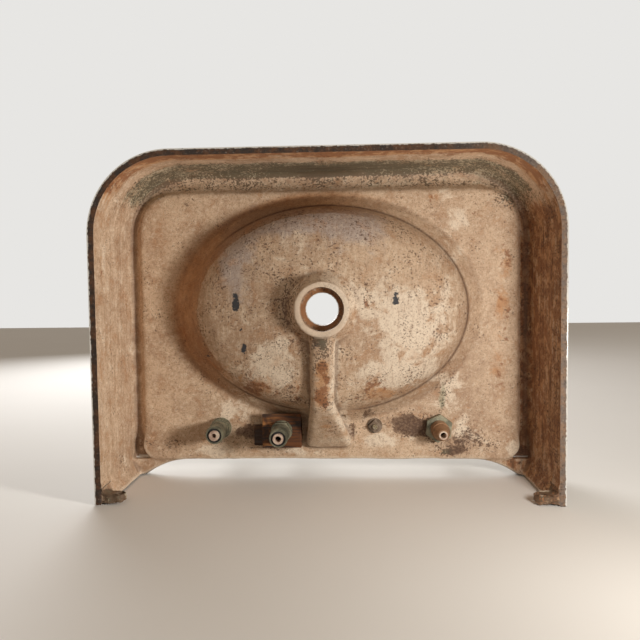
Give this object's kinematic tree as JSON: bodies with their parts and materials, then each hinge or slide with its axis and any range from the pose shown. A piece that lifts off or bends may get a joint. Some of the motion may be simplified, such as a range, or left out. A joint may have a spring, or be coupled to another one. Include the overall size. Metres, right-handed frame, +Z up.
{
  "type": "wall-hung cast iron wash basin with taps",
  "caption": "Wall-hung cast iron basin with a deep apron, oval bowl, cast overflow channel, cross-handle pillar taps and a chain stay.",
  "frame": {"origin": "centre of the basin's outline, in the plane of the apron's rim", "axes": "+X from the hot tap to the cold tap, +Y towards the wall, +Z up out of the bowl"},
  "size_m": [0.61, 0.46, 0.2525],
  "materials": {
    "enamelled_iron": "Underside in old cream-tan paint with rust, white enamel outside",
    "wood": "Aged sawn softwood",
    "plated_brass": "Worn nickel plating over brass",
    "tarnished_brass": "Dull green-grey tarnish",
    "tail_tube": "Dull, paint-stained",
    "rusty_steel": "Rusty",
    "porcelain": "Glazed white",
    "rubber": "Matt black",
    "packing": "Greased hemp"
  },
  "bodies": {
    "root": {"sink_casting": "enamelled_iron", "shim_block": "wood", "chain_stay": "plated_brass", "stay_washer": "rusty_steel", "stay_nut": "rusty_steel", "hot_tap_body": "plated_brass", "hot_bonnet": "plated_brass", "hot_packing_nut": "plated_brass", "hot_packing_ring": "packing", "hot_gasket": "rubber", "hot_washer": "tarnished_brass", "hot_lock_nut": "tarnished_brass", "hot_coupling_nut": "tarnished_brass", "hot_tail": "tail_tube", "hot_tail_ring": "rubber", "middle_tap_body": "plated_brass", "middle_bonnet": "plated_brass", "middle_packing_nut": "plated_brass", "middle_packing_ring": "packing", "middle_gasket": "rubber", "middle_washer": "tarnished_brass", "middle_lock_nut": "tarnished_brass", "middle_coupling_nut": "tarnished_brass", "middle_tail": "tail_tube", "middle_tail_ring": "rubber", "cold_tap_body": "plated_brass", "cold_bonnet": "plated_brass", "cold_packing_nut": "plated_brass", "cold_packing_ring": "packing", "cold_gasket": "rubber", "cold_washer": "tarnished_brass", "cold_lock_nut": "tarnished_brass", "cold_coupling_nut": "tarnished_brass", "cold_tail": "tail_tube", "cold_tail_ring": "rubber"},
    "hot_valve": {"hot_jumper": "plated_brass", "hot_valve_washer": "rubber"},
    "hot_control": {"hot_spindle": "plated_brass", "hot_handle": "plated_brass", "hot_handle_screw": "plated_brass", "hot_button": "porcelain"},
    "middle_valve": {"middle_jumper": "plated_brass", "middle_valve_washer": "rubber"},
    "middle_control": {"middle_spindle": "plated_brass", "middle_handle": "plated_brass", "middle_handle_screw": "plated_brass", "middle_button": "porcelain"},
    "cold_valve": {"cold_jumper": "plated_brass", "cold_valve_washer": "rubber"},
    "cold_control": {"cold_spindle": "plated_brass", "cold_handle": "plated_brass", "cold_handle_screw": "plated_brass", "cold_button": "porcelain"}
  },
  "joints": [
    {"name": "hot_valve_lift", "type": "slide", "parent": "root", "child": "hot_valve", "axis": [0, 0, 1], "range_m": [0, 0.004]},
    {"name": "hot_handle_turn", "type": "hinge", "parent": "hot_valve", "child": "hot_control", "pos_m": [-0.161, 0.156, 0.2], "axis": [0, 0, 1], "range_deg": [0, 450]},
    {"name": "middle_valve_lift", "type": "slide", "parent": "root", "child": "middle_valve", "axis": [0, 0, 1], "range_m": [0, 0.004]},
    {"name": "middle_handle_turn", "type": "hinge", "parent": "middle_valve", "child": "middle_control", "pos_m": [-0.068, 0.156, 0.2], "axis": [0, 0, 1], "range_deg": [0, 450]},
    {"name": "cold_valve_lift", "type": "slide", "parent": "root", "child": "cold_valve", "axis": [0, 0, 1], "range_m": [0, 0.004]},
    {"name": "cold_handle_turn", "type": "hinge", "parent": "cold_valve", "child": "cold_control", "pos_m": [0.161, 0.156, 0.2], "axis": [0, 0, 1], "range_deg": [0, 450]}
  ],
  "couplings": [
    {"joint": "hot_handle_turn", "follows": "hot_valve_lift", "rad_per_m": 1963.3},
    {"joint": "middle_handle_turn", "follows": "middle_valve_lift", "rad_per_m": 1963.3},
    {"joint": "cold_handle_turn", "follows": "cold_valve_lift", "rad_per_m": 1963.3}
  ]
}
